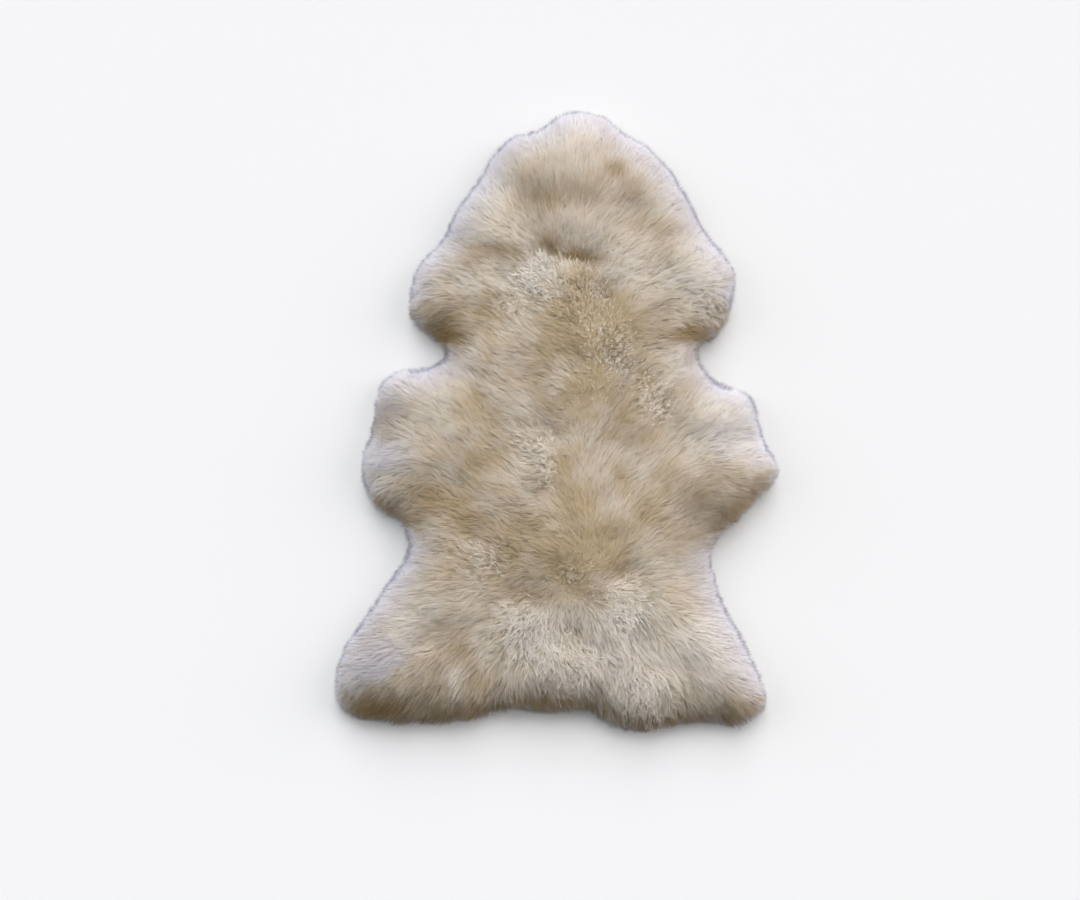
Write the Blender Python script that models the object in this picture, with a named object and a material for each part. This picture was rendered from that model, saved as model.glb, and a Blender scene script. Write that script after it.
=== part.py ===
"""A sheepskin rug: one whole pelt, lying flat on its hide with the wool up.

Metres, +Z up. The origin is on the floor under the middle of the pelt, and +Y points to the neck.
"""

from collections import namedtuple
from math import ceil, cos, dist, exp, radians, sin, sqrt
from random import Random

import bmesh
import bpy
from mathutils import Vector, geometry, kdtree, noise

MM = 0.001

PILE = 55 * MM  # height of the full wool over the floor, hide included
RIM_HEIGHT = 18 * MM  # height of the wool where the locks of the rim spring from it
ROLL = 52 * MM  # how far in from the rim the wool reaches its full height

LOCK_COUNT = 240
LOCK_REACH = 13 * MM
LOCK_SHARE = 0.78  # of the rim that is under locks, the rest being the clefts between them
LOCK_LENGTHS = (0.8, 1.08)  # shortest and longest, as shares of LOCK_REACH
LOCK_TURN = radians(14)  # the most that a lock leans to one side
NOTCH_GUARD = 3.0  # how soon a notch stops its locks from leaning
WAIST_AT = 0.55  # how far along a lock its middle section is
WAIST_WIDTH = 0.74  # of the lock's root
WAIST_HEIGHT = 0.6
TIP_HEIGHT = 1.2 * MM

CURVE_STEP = 2 * MM
ROLL_RINGS = ((4, 9), (10, 10), (19, 12), (31, 14), (46, 15))  # (in from the rim, spacing) in millimetres
BACK_SPACING = 15 * MM  # of the wool's points on the flat of the back
BACK_JITTER = 0.22
HIDE_SPACING = 42 * MM  # of the points under the hide
CLOSEST = 0.62  # the least gap between two points, as a share of their spacing

# Unevenness of the wool besides its folds: (size, height) of its lumps in millimetres.
LUMPS = ((150, 8), (70, 7), (30, 3.5))
LUMP_PATTERN = Vector((3.7, 8.2, 1.9))  # where in the noise the lumps are read

WOOL_COLOUR = (0.62, 0.53, 0.40, 1.0)
WOOL_ROUGHNESS = 0.9

# The edge of the wool as it lies, clockwise from the crown of the neck, seen from above.
# Each stretch holds its landmarks (x, y) in millimetres, and one smooth closed curve runs through them all.
Stretch = namedtuple("Stretch", "name landmarks")
EDGE = (
    Stretch("crown", ((-16, 458), (0, 478), (72, 474), (106, 448))),
    Stretch("right of the neck", ((153, 417), (208, 336), (222, 304))),
    Stretch("right cheek", ((266, 251), (275, 222), (258, 150), (236, 128))),
    Stretch("right neck notch", ((217, 117), (244, 64))),
    Stretch("right foreleg", ((277, 56), (303, 36), (319, -26), (343, -73))),
    Stretch("behind the right foreleg", ((302, -127), (246, -181))),
    Stretch("right waist", ((238, -206), (260, -284), (285, -327))),
    Stretch("right hind leg", ((320, -406), (323, -438), (283, -467))),
    Stretch("right of the tail", ((222, -461), (188, -466))),
    Stretch("tail", ((130, -476), (90, -469), (66, -453), (42, -441))),
    Stretch("left of the tail", ((5, -448), (-75, -442), (-134, -458))),
    Stretch("left hind leg", ((-212, -463), (-301, -457), (-329, -442))),
    Stretch("left hind tip", ((-342, -414), (-335, -367), (-288, -288))),
    Stretch("left waist", ((-231, -201), (-229, -179), (-237, -156))),
    Stretch("left foreleg", ((-280, -127), (-301, -66), (-281, 4))),
    Stretch("top of the left foreleg", ((-278, 36), (-265, 65), (-243, 82))),
    Stretch("left neck notch", ((-206, 84), (-181, 92), (-168, 110))),
    Stretch("left cheek", ((-222, 156), (-229, 187), (-208, 249))),
    Stretch("left of the neck", ((-175, 283), (-154, 330), (-129, 364))),
    Stretch("left of the crown", ((-78, 436),)),
)

# Where the wool mounds up or falls in, as soft ovals: the middle, half length and half width in millimetres,
# the turn of the long way from +X in degrees, and the height at the middle, negative in a hollow.
Fold = namedtuple("Fold", "name x y half_length half_width turn height")
FOLDS = (
    Fold("crown trough", -26, 362, 62, 22, -12, -5),
    Fold("crown hollow", 91, 384, 24, 20, 0, -8),
    Fold("hollow right of the neck", 129, 322, 30, 24, 0, -5),
    Fold("brow over the neck crease", 42, 308, 60, 26, 0, 2),
    Fold("neck crease", 32, 249, 38, 10, -6, -9),
    Fold("lip under the neck crease", 34, 228, 56, 13, 4, 3),
    Fold("hollow left of the crease", -15, 270, 15, 13, 0, -6),
    Fold("mound left of the neck", -108, 335, 34, 30, 0, 7),
    Fold("hollow left of the neck", -111, 272, 34, 16, -8, -7),
    Fold("left cheek", -173, 222, 62, 54, 0, 7),
    Fold("right cheek", 214, 222, 60, 54, 0, 7),
    Fold("nape trough", 44, 203, 70, 20, 0, -2),
    Fold("left shoulder", -126, 105, 50, 22, 25, 6),
    Fold("right shoulder", 207, 90, 40, 22, -35, 5),
    Fold("top of the left foreleg", -224, 59, 38, 26, 0, 6),
    Fold("hollow of the left foreleg", -256, 12, 28, 20, 0, -8),
    Fold("foot of the left foreleg", -246, -45, 34, 34, 0, 6),
    Fold("top of the right foreleg", 266, 28, 40, 32, 0, 6),
    Fold("dip of the right foreleg", 287, -26, 26, 12, 0, -8),
    Fold("foot of the right foreleg", 300, -60, 30, 24, 0, 5),
    Fold("left flank trough", -137, -112, 75, 26, -28, -6),
    Fold("loin hollow", 13, -236, 42, 26, -25, -7),
    Fold("right loin hollow", 114, -231, 36, 18, 18, -7),
    Fold("left rump tuft", -33, -305, 50, 24, 0, 6),
    Fold("rump hollow", 29, -332, 26, 20, 0, -7),
    Fold("right rump tuft", 114, -344, 50, 40, 0, 6),
    Fold("low rump tuft", -2, -374, 60, 24, 0, 6),
    Fold("left haunch", -264, -352, 58, 58, 0, 5),
    Fold("left rump furrow", -196, -402, 45, 14, 65, -7),
    Fold("middle rump furrow", -95, -388, 40, 14, 70, -6),
    Fold("right haunch", 267, -384, 46, 54, 0, 5),
    Fold("right rump furrow", 207, -408, 42, 17, 80, -8),
    Fold("tail", 122, -405, 40, 38, 0, 6),
)


def clear_scene():
    for thing in list(bpy.data.objects):
        bpy.data.objects.remove(thing, do_unlink=True)


def smooth_loop(landmarks):
    """A closed centripetal Catmull-Rom curve through the landmarks."""
    loop = []
    count = len(landmarks)
    for i, start in enumerate(landmarks):
        before, end, after = (landmarks[(i + k) % count] for k in (-1, 1, 2))
        t1 = sqrt((start - before).length)
        t2 = t1 + sqrt((end - start).length)
        t3 = t2 + sqrt((after - end).length)
        steps = ceil((end - start).length / CURVE_STEP)
        for step in range(steps):
            t = t1 + (t2 - t1) * step / steps
            a = before.lerp(start, t / t1)
            b = start.lerp(end, (t - t1) / (t2 - t1))
            c = end.lerp(after, (t - t2) / (t3 - t2))
            loop.append(a.lerp(b, t / t2).lerp(b.lerp(c, (t - t1) / (t3 - t1)), (t - t1) / (t2 - t1)))
    return loop


def loop_lengths(loop):
    """How far along the closed loop each point is, with the whole length at the end."""
    lengths = [0.0]
    for i, point in enumerate(loop):
        lengths.append(lengths[-1] + (loop[(i + 1) % len(loop)] - point).length)
    return lengths


def points_along(loop, places):
    """The points of the closed loop at these rising distances from its start."""
    lengths = loop_lengths(loop)
    found = []
    i = 0
    for place in places:
        while lengths[i + 1] < place:
            i += 1
        share = (place - lengths[i]) / (lengths[i + 1] - lengths[i])
        found.append(loop[i].lerp(loop[(i + 1) % len(loop)], share))
    return found


def points_every(loop, spacing):
    count = int(loop_lengths(loop)[-1] / spacing)
    return points_along(loop, [i * spacing for i in range(count)])


def outward(loop, i):
    """The unit vector that points out of the clockwise loop at its point i."""
    along = loop[(i + 1) % len(loop)] - loop[i - 1]
    return Vector((-along.y, along.x)).normalized()


def tree_of(points):
    tree = kdtree.KDTree(len(points))
    for i, point in enumerate(points):
        tree.insert((point.x, point.y, 0), i)
    tree.balance()
    return tree


def distance_to(tree, point):
    return tree.find((point.x, point.y, 0))[2]


def inset_loop(edge, edge_tree, depth):
    """The line that runs inside the edge at this depth."""
    moved = [point - outward(edge, i) * depth for i, point in enumerate(edge)]
    return [point for point in moved if distance_to(edge_tree, point) > depth - CURVE_STEP / 2]


def inside(loop, point):
    crossings = 0
    for i, start in enumerate(loop):
        end = loop[i - 1]
        if (start.y > point.y) != (end.y > point.y):
            crossings += point.x < start.x + (end.x - start.x) * (point.y - start.y) / (end.y - start.y)
    return crossings % 2 == 1


def rim_points(root_line, rng):
    """The points of the rim: each lock's root runs from an even point to the next, and a cleft follows it."""
    total = loop_lengths(root_line)[-1]
    shares = [rng.uniform(0.75, 1.25) for _ in range(LOCK_COUNT)]
    places = []
    place = 0.0
    for share in shares:
        pitch = total * share / sum(shares)
        places += [place, place + pitch * LOCK_SHARE]
        place += pitch
    return points_along(root_line, places)


def hex_grid(loop, spacing, jitter, rng):
    """Points inside the loop, in a honeycomb with some disorder."""
    low = Vector((min(p.x for p in loop), min(p.y for p in loop)))
    high = Vector((max(p.x for p in loop), max(p.y for p in loop)))
    row_height = spacing * sqrt(3) / 2
    found = []
    for row in range(ceil((high.y - low.y) / row_height)):
        for column in range(ceil((high.x - low.x) / spacing)):
            shift = Vector((rng.uniform(-1, 1), rng.uniform(-1, 1))) * jitter * spacing
            point = low + Vector(((column + row % 2 / 2) * spacing, row * row_height)) + shift
            if inside(loop, point):
                found.append(point)
    return found


def add_apart(points, more, spacing):
    """Adds each of the new points that isn't too near one already there."""
    cells = {}
    size = CLOSEST * spacing
    for point in points:
        cells.setdefault((int(point.x // size), int(point.y // size)), []).append(point)
    for point in more:
        column, row = int(point.x // size), int(point.y // size)
        near = (cells.get((column + i, row + j), ()) for i in (-1, 0, 1) for j in (-1, 0, 1))
        if all(dist(point, other) >= size for group in near for other in group):
            points.append(point)
            cells.setdefault((column, row), []).append(point)


def folds_at(x, y):
    total = 0.0
    for fold in FOLDS:
        turn = radians(fold.turn)
        across, up = x - fold.x * MM, y - fold.y * MM
        u = (across * cos(turn) + up * sin(turn)) / (fold.half_length * MM)
        v = (up * cos(turn) - across * sin(turn)) / (fold.half_width * MM)
        total += fold.height * MM * exp(-u * u - v * v)
    return total


def lumps_at(x, y):
    place = Vector((x, y, 0))
    return sum(height * MM * noise.noise(place / (size * MM) + LUMP_PATTERN) for size, height in LUMPS)


def wool_height(point, rim_tree):
    """The wool rolls over from its low rim to the full pile, which its folds and lumps raise and lower."""
    share = min(1.0, distance_to(rim_tree, point) / ROLL)
    rise = sqrt(1 - (1 - share) ** 2)
    return RIM_HEIGHT + rise * (PILE - RIM_HEIGHT + folds_at(point.x, point.y) + lumps_at(point.x, point.y))


def add_sheet(bm, verts, rim_count, facing_up):
    """Triangles over all the points inside the rim, which is the first of them."""
    flat = [Vector((vert.co.x, vert.co.y)) for vert in verts]
    rim_face = [list(range(rim_count))[::-1]]
    _, _, faces, origins, _, _ = geometry.delaunay_2d_cdt(flat, [], rim_face, 1, MM * 0.001)
    for face in faces:
        corners = [verts[origins[i][0]] for i in face]
        bm.faces.new(corners if facing_up else corners[::-1])


def grow_lock(bm, wall, direction, rng):
    """Draws one wall of the rim out into a tapering lock that lies on the floor."""
    length = LOCK_REACH * rng.uniform(*LOCK_LENGTHS)
    middle = wall.calc_center_median()
    floor_middle = Vector((middle.x, middle.y, 0))
    sections = bmesh.ops.extrude_discrete_faces(bm, faces=[wall])["faces"]
    waist = sections[0]
    for vert in waist.verts:
        out = (vert.co - floor_middle) * WAIST_WIDTH
        out.z = vert.co.z * WAIST_HEIGHT
        vert.co = floor_middle + out + direction * length * WAIST_AT
    tip = bmesh.ops.poke(bm, faces=[waist])["verts"][0]
    tip.co = floor_middle + direction * length + Vector((0, 0, TIP_HEIGHT))


def lock_direction(rim, i, rng):
    """Straight out from the rim, leaning less to a side where a notch brings the locks together."""
    behind = outward(rim, i - 2)
    ahead = outward(rim, (i + 3) % len(rim))
    straight = (behind + ahead).normalized()
    closing = max(0.0, behind.cross(ahead))
    lean = rng.uniform(-1, 1) * LOCK_TURN * max(0.0, 1 - NOTCH_GUARD * closing)
    across = Vector((-straight.y, straight.x))
    direction = straight * cos(lean) + across * sin(lean)
    return Vector((direction.x, direction.y, 0))


def wool_points(edge, edge_tree, rim, rim_tree, rng):
    """The points that the wool's surface runs through: the rim, the lines of the roll, and the back."""
    points = list(rim)
    for depth, spacing in ROLL_RINGS:
        line = inset_loop(edge, edge_tree, LOCK_REACH + depth * MM)
        ring = points_every(line, spacing * MM)
        add_apart(points, [point for point in ring if inside(rim, point)], spacing * MM)
    roll_depth = ROLL_RINGS[-1][0] * MM
    back = hex_grid(rim, BACK_SPACING, BACK_JITTER, rng)
    add_apart(points, [point for point in back if distance_to(rim_tree, point) > roll_depth], BACK_SPACING)
    return points


def hide_points(rim, rim_tree, rng):
    """The points of the flat underside: the rim and a coarse, even grid."""
    grid = hex_grid(rim, HIDE_SPACING, 0, rng)
    return rim + [point for point in grid if distance_to(rim_tree, point) > HIDE_SPACING / 3]


def pelt_mesh():
    """The pelt as one closed body: wool above, flat hide below, and locks all round."""
    rng = Random(7)
    edge = smooth_loop([Vector(place) * MM for stretch in EDGE for place in stretch.landmarks])
    edge_tree = tree_of(edge)
    root_line = inset_loop(edge, edge_tree, LOCK_REACH)
    rim_tree = tree_of(points_every(root_line, CURVE_STEP))
    rim = rim_points(root_line, rng)

    bm = bmesh.new()
    wool = wool_points(edge, edge_tree, rim, rim_tree, rng)
    hide = hide_points(rim, rim_tree, rng)
    top = [bm.verts.new((p.x, p.y, wool_height(p, rim_tree))) for p in wool]
    under = [bm.verts.new((p.x, p.y, 0)) for p in hide]
    add_sheet(bm, top, len(rim), facing_up=True)
    add_sheet(bm, under, len(rim), facing_up=False)
    walls = []
    for i in range(len(rim)):
        j = (i + 1) % len(rim)
        walls.append(bm.faces.new((top[i], top[j], under[j], under[i])))
    for i in range(0, len(rim), 2):
        grow_lock(bm, walls[i], lock_direction(rim, i, rng), rng)
    bmesh.ops.triangulate(bm, faces=bm.faces[:])
    centre_on_floor(bm)
    return bm


def centre_on_floor(bm):
    for axis in (0, 1):
        places = [vert.co[axis] for vert in bm.verts]
        shift = (min(places) + max(places)) / 2
        for vert in bm.verts:
            vert.co[axis] -= shift


def wool_material():
    material = bpy.data.materials.new("wool")
    material.use_nodes = True
    shader = material.node_tree.nodes["Principled BSDF"]
    shader.inputs["Base Color"].default_value = WOOL_COLOUR
    shader.inputs["Roughness"].default_value = WOOL_ROUGHNESS
    shader.inputs["Metallic"].default_value = 0.0
    material.diffuse_color = WOOL_COLOUR
    return material


def make_pelt():
    mesh = bpy.data.meshes.new("pelt")
    bm = pelt_mesh()
    bm.to_mesh(mesh)
    bm.free()
    mesh.materials.append(wool_material())
    mesh.shade_smooth()
    mesh.set_sharp_from_angle(angle=radians(50))
    bpy.context.scene.collection.objects.link(bpy.data.objects.new("pelt", mesh))


clear_scene()
make_pelt()
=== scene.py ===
import math

import bpy
import numpy as np
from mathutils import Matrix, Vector, kdtree, noise


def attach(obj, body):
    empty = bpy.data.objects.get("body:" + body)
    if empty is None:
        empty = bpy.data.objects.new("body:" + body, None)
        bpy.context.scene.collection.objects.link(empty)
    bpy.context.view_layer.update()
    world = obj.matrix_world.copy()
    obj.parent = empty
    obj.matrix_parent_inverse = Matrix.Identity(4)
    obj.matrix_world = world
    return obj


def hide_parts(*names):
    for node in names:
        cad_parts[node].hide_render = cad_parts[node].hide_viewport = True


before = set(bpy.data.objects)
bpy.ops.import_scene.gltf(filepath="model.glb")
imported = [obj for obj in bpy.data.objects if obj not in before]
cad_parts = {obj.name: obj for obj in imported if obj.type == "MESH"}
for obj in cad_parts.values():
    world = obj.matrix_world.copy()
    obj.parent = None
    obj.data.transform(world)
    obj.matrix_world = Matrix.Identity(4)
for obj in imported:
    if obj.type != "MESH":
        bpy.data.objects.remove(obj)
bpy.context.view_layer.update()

# Sheepskin rug. Metres, +Z up, +Y to the neck. The pelt lies on its hide and the camera looks straight down.

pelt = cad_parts["pelt"]


def deselectAll():
    if bpy.context.mode != "OBJECT":
        bpy.ops.object.mode_set(mode="OBJECT")
    bpy.ops.object.select_all(action="DESELECT")


def makeActive(piece):
    deselectAll()
    piece.select_set(True)
    bpy.context.view_layer.objects.active = piece


def duplicateOf(piece, name):
    makeActive(piece)
    bpy.ops.object.duplicate()
    made = bpy.context.object
    made.name = name
    made.data.name = name
    return made


def shapeWith(piece, kind, **settings):
    # put a modifier on and apply it at once
    makeActive(piece)
    modifier = piece.modifiers.new(kind.title(), kind)
    for name, value in settings.items():
        setattr(modifier, name, value)
    bpy.ops.object.modifier_apply(modifier=modifier.name)


def meshArrays(piece):
    # points, point normals and triangles of a piece
    mesh = piece.data
    mesh.calc_loop_triangles()
    points = np.empty(len(mesh.vertices) * 3)
    mesh.vertices.foreach_get("co", points)
    normals = np.empty(len(mesh.vertices) * 3)
    mesh.vertices.foreach_get("normal", normals)
    triangles = np.empty(len(mesh.loop_triangles) * 3, np.int32)
    mesh.loop_triangles.foreach_get("vertices", triangles)
    return points.reshape(-1, 3), normals.reshape(-1, 3), triangles.reshape(-1, 3)


def unit(vectors):
    return vectors / np.maximum(np.linalg.norm(vectors, axis=-1, keepdims=True), 1e-9)


def between(pair, share):
    return pair[0] + (pair[1] - pair[0]) * share


def setSockets(node, values):
    for name, value in values.items():
        node.inputs[name].default_value = value


def plainMaterial(name, look):
    material = bpy.data.materials.new(name)
    material.use_nodes = True
    setSockets(material.node_tree.nodes["Principled BSDF"], look)
    return material


# camera: over the pelt, face on, as in the photograph

cameraSettings = {
    "aim": (-0.0258, -0.0440),  # the place on the floor right under it
    "height": 3.255,
    "lens": 70.0,
    "sensor": 36,
}


def makeCamera():
    x, y = cameraSettings["aim"]
    bpy.ops.object.camera_add(location=(x, y, cameraSettings["height"]), rotation=(0, 0, 0))
    camera = bpy.context.object
    camera.name = "overheadCamera"
    camera.data.lens = cameraSettings["lens"]
    camera.data.sensor_width = cameraSettings["sensor"]
    camera.data.dof.use_dof = False
    bpy.context.scene.camera = camera


makeCamera()
print("camera ready")

# underwool: the dense wool close to the skin, which the locks stand in

underwoolSettings = {
    "weld": 0.0001,
    "voxel": 0.006,
    "smoothing": (0.5, 4),  # how strong, and how many times
    "shrink": 0.007,
    "bottom": 0.0022,  # over the floor, just above the hide
    "look": {"Base Color": (0.84, 0.74, 0.58, 1), "Roughness": 0.9, "Specular IOR Level": 0.1},
}


def roundOff(piece):
    strength, times = underwoolSettings["smoothing"]
    shapeWith(piece, "REMESH", mode="VOXEL", voxel_size=underwoolSettings["voxel"])
    shapeWith(piece, "SMOOTH", factor=strength, iterations=times)


def makeUnderwool():
    body = duplicateOf(pelt, "underwool")
    shapeWith(body, "WELD", merge_threshold=underwoolSettings["weld"])
    roundOff(body)
    shapeWith(body, "DISPLACE", strength=-underwoolSettings["shrink"], mid_level=0.0)
    roundOff(body)
    # let the flat underside down again, onto the hide
    points, _, _ = meshArrays(body)
    low, high = points[:, 2].min(), points[:, 2].max()
    bottom = underwoolSettings["bottom"]
    points[:, 2] = bottom + (points[:, 2] - low) * (high - bottom) / (high - low)
    body.data.vertices.foreach_set("co", points.ravel())
    body.data.update()
    makeActive(body)
    bpy.ops.object.shade_smooth()
    body.data.materials.clear()
    body.data.materials.append(plainMaterial("denseUnderwool", underwoolSettings["look"]))
    return body


underwool = makeUnderwool()
print("underwool", len(underwool.data.polygons), "faces")

# hide: the tanned skin under the wool, cut well inside its edge

hideSettings = {
    "level": 0.009,  # the height at which the underwool's outline is taken
    "inside": 0.010,  # of that outline
    "evening": 6,  # how many times the outline is evened out
    "thickness": 0.0018,
    "clearance": 0.0002,  # over the floor
    "look": {"Roughness": 0.85, "Specular IOR Level": 0.2},
    "colours": ((0.60, 0.49, 0.35, 1), (0.72, 0.62, 0.48, 1)),
    "clouds": {"Scale": 14, "Detail": 6},
    "nap": {"Scale": 900},
    "bump": {"Strength": 0.25, "Distance": 0.0005},
}


def hideMaterial():
    material = plainMaterial("suedeHide", hideSettings["look"])
    nodes, links = material.node_tree.nodes, material.node_tree.links
    shader = nodes["Principled BSDF"]
    place = nodes.new("ShaderNodeTexCoord")
    clouds = nodes.new("ShaderNodeTexNoise")
    setSockets(clouds, hideSettings["clouds"])
    ramp = nodes.new("ShaderNodeValToRGB")
    for element, colour in zip(ramp.color_ramp.elements, hideSettings["colours"]):
        element.color = colour
    nap = nodes.new("ShaderNodeTexNoise")
    setSockets(nap, hideSettings["nap"])
    bump = nodes.new("ShaderNodeBump")
    setSockets(bump, hideSettings["bump"])
    links.new(place.outputs["Object"], clouds.inputs["Vector"])
    links.new(place.outputs["Object"], nap.inputs["Vector"])
    links.new(clouds.outputs["Fac"], ramp.inputs["Fac"])
    links.new(ramp.outputs["Color"], shader.inputs["Base Color"])
    links.new(nap.outputs["Fac"], bump.inputs["Height"])
    links.new(bump.outputs["Normal"], shader.inputs["Normal"])
    return material


def longestLoop(mesh):
    # the longest run of points joined by the mesh's edges, in order
    joined = {}
    for edge in mesh.edges:
        for one, other in (edge.vertices, reversed(edge.vertices)):
            joined.setdefault(one, []).append(other)
    longest = []
    while joined:
        run = [next(iter(joined))]
        while True:
            onward = [point for point in joined.pop(run[-1], ()) if point in joined]
            if not onward:
                break
            run.append(onward[0])
        longest = max(longest, run, key=len)
    return longest


def makeHide():
    skin = duplicateOf(underwool, "hide")
    bpy.ops.object.mode_set(mode="EDIT")
    bpy.ops.mesh.select_all(action="SELECT")
    bpy.ops.mesh.bisect(plane_co=(0, 0, hideSettings["level"]), plane_no=(0, 0, 1), clear_inner=True,
                        clear_outer=True)
    bpy.ops.object.mode_set(mode="OBJECT")
    points, _, _ = meshArrays(skin)
    # take every second point, even the outline out, then draw it in
    outline = points[longestLoop(skin.data)][::2, :2]
    for _ in range(hideSettings["evening"]):
        outline = (np.roll(outline, 1, axis=0) + 2 * outline + np.roll(outline, -1, axis=0)) / 4
    x, y = outline.T
    if (x * np.roll(y, -1) - np.roll(x, -1) * y).sum() < 0:
        outline = outline[::-1]
    along = unit(np.roll(outline, -1, axis=0) - np.roll(outline, 1, axis=0))
    outline = outline + np.stack((-along[:, 1], along[:, 0]), axis=1) * hideSettings["inside"]

    mesh = bpy.data.meshes.new("hide")
    corners = [(x, y, hideSettings["clearance"]) for x, y in outline]
    mesh.from_pydata(corners, [], [range(len(corners))])
    bpy.data.objects.remove(skin)
    skin = bpy.data.objects.new("hide", mesh)
    bpy.context.scene.collection.objects.link(skin)
    shapeWith(skin, "TRIANGULATE")
    area = sum(face.area for face in skin.data.polygons)
    size = np.ptp(outline, axis=0)
    shapeWith(skin, "SOLIDIFY", thickness=hideSettings["thickness"], offset=1)
    skin.data.materials.append(hideMaterial())
    print("hide", round(area, 4), "square metres", len(skin.data.polygons), "faces")
    return skin, size, area


hide, hideSize, hideArea = makeHide()

# wool

combStrokes = (
    # where the wool is brushed to: name, x, y, heading (degrees, 0 = right, 90 = to the neck), reach
    ("crown", 0.01, 0.45, 90, 0.05),
    ("left of the crown", -0.10, 0.40, 130, 0.05),
    ("right of the crown", 0.155, 0.40, 50, 0.05),
    ("top of the neck, left", -0.05, 0.39, 113, 0.045),
    ("top of the neck", 0.01, 0.36, 92, 0.05),
    ("top of the neck, right", 0.085, 0.36, 50, 0.045),
    ("left of the neck", -0.10, 0.32, 132, 0.05),
    ("middle of the neck, left", -0.02, 0.315, 105, 0.04),
    ("middle of the neck, right", 0.05, 0.315, 75, 0.04),
    ("right of the neck", 0.13, 0.32, 48, 0.05),
    ("left edge of the neck", -0.15, 0.30, 140, 0.05),
    ("right edge of the neck", 0.19, 0.29, 40, 0.05),
    ("left of the crease", -0.07, 0.255, 172, 0.045),
    ("under the crease", 0.015, 0.235, 140, 0.035),
    ("right of the crease", 0.09, 0.255, 15, 0.045),
    ("left cheek", -0.19, 0.22, 172, 0.05),
    ("right cheek", 0.22, 0.22, 25, 0.05),
    ("under the left cheek", -0.19, 0.155, 222, 0.035),
    ("under the right cheek", 0.22, 0.155, -45, 0.035),
    ("left of the nape", -0.10, 0.165, 155, 0.05),
    ("nape", 0.03, 0.16, 140, 0.045),
    ("nape, right", 0.075, 0.185, 85, 0.03),
    ("right of the nape", 0.14, 0.165, 12, 0.05),
    ("left shoulder", -0.12, 0.09, 145, 0.05),
    ("left of the withers", -0.04, 0.07, 165, 0.045),
    ("withers", 0.04, 0.075, 172, 0.035),
    ("right of the withers", 0.11, 0.07, 20, 0.045),
    ("right shoulder", 0.19, 0.08, 35, 0.045),
    ("top of the left foreleg", -0.25, 0.05, 150, 0.05),
    ("left foreleg", -0.28, -0.03, 178, 0.05),
    ("under the left foreleg", -0.25, -0.11, 235, 0.035),
    ("top of the right foreleg", 0.27, 0.03, 45, 0.05),
    ("right foreleg", 0.30, -0.05, 3, 0.05),
    ("under the right foreleg", 0.26, -0.12, -45, 0.035),
    ("left side", -0.13, 0.0, 130, 0.05),
    ("left side, low", -0.12, -0.09, 135, 0.05),
    ("left of the back", -0.05, -0.02, 160, 0.04),
    ("left of the back, low", -0.05, -0.10, 162, 0.04),
    ("saddle", -0.01, -0.06, 165, 0.035),
    ("saddle, right", 0.03, -0.10, 110, 0.03),
    ("right of the back", 0.07, -0.04, 52, 0.045),
    ("right side", 0.14, -0.05, 45, 0.05),
    ("right side, low", 0.15, -0.12, 40, 0.05),
    ("left waist", -0.19, -0.17, 170, 0.045),
    ("left of the loin", -0.10, -0.17, 172, 0.05),
    ("loin", 0.0, -0.17, 165, 0.04),
    ("right of the loin", 0.08, -0.17, 70, 0.04),
    ("right waist", 0.19, -0.16, 30, 0.045),
    ("over the rump, left", -0.15, -0.26, 183, 0.05),
    ("over the rump, middle", -0.05, -0.28, 205, 0.04),
    ("over the rump", 0.02, -0.30, -95, 0.035),
    ("over the rump, right", 0.12, -0.30, -72, 0.04),
    ("over the rump, aside", 0.06, -0.245, 12, 0.03),
    ("over the right haunch", 0.21, -0.26, 15, 0.045),
    ("left haunch", -0.28, -0.34, 183, 0.05),
    ("right haunch", 0.28, -0.35, -5, 0.05),
    ("left of the rump", -0.13, -0.36, 222, 0.045),
    ("rump", -0.01, -0.36, -55, 0.04),
    ("right of the rump", 0.08, -0.36, -58, 0.04),
    ("tail", 0.14, -0.41, -92, 0.035),
    ("under the rump, left", -0.16, -0.42, 243, 0.04),
    ("under the rump", -0.03, -0.42, -68, 0.04),
    ("under the rump, right", 0.20, -0.40, -52, 0.035),
    ("under the left haunch", -0.27, -0.43, 232, 0.035),
    ("under the right haunch", 0.27, -0.43, -50, 0.035),
    ("inside of the right haunch", 0.205, -0.335, -32, 0.035),
    ("right of the low loin", 0.14, -0.225, 20, 0.03),
)

curlSpots = (
    # where the wool is curly and pale wisps lie on it: name, x, y, reach, amount, length of the wisps
    ("under the crease, left", -0.04, 0.226, 0.027, 0.8, 1.4),
    ("under the crease", 0.005, 0.222, 0.026, 1.0, 1.1),
    ("under the crease, right", 0.05, 0.20, 0.03, 0.8, 0.7),
    ("left of the nape", -0.08, 0.184, 0.025, 0.5, 1.2),
    ("right cheek", 0.235, 0.175, 0.035, 0.5, 1.0),
    ("nape", 0.055, 0.145, 0.03, 0.65, 0.6),
    ("right of the nape", 0.105, 0.115, 0.032, 0.8, 0.6),
    ("right of the withers", 0.157, 0.04, 0.025, 0.9, 0.7),
    ("withers", 0.04, 0.05, 0.035, 0.3, 0.8),
    ("saddle, left", -0.07, -0.020, 0.018, 0.45, 1.0),
    ("saddle", -0.03, -0.037, 0.020, 0.55, 0.9),
    ("saddle, low", -0.025, -0.080, 0.022, 0.5, 0.8),
    ("left of the loin", -0.115, -0.21, 0.034, 0.5, 1.1),
    ("low loin", 0.03, -0.22, 0.03, 0.6, 0.7),
    ("over the rump", 0.11, -0.285, 0.032, 0.9, 1.6),
    ("left of the rump", -0.05, -0.325, 0.035, 0.8, 1.6),
    ("rump", 0.02, -0.375, 0.04, 0.8, 1.7),
    ("tail", 0.14, -0.42, 0.035, 0.9, 1.6),
)

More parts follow.
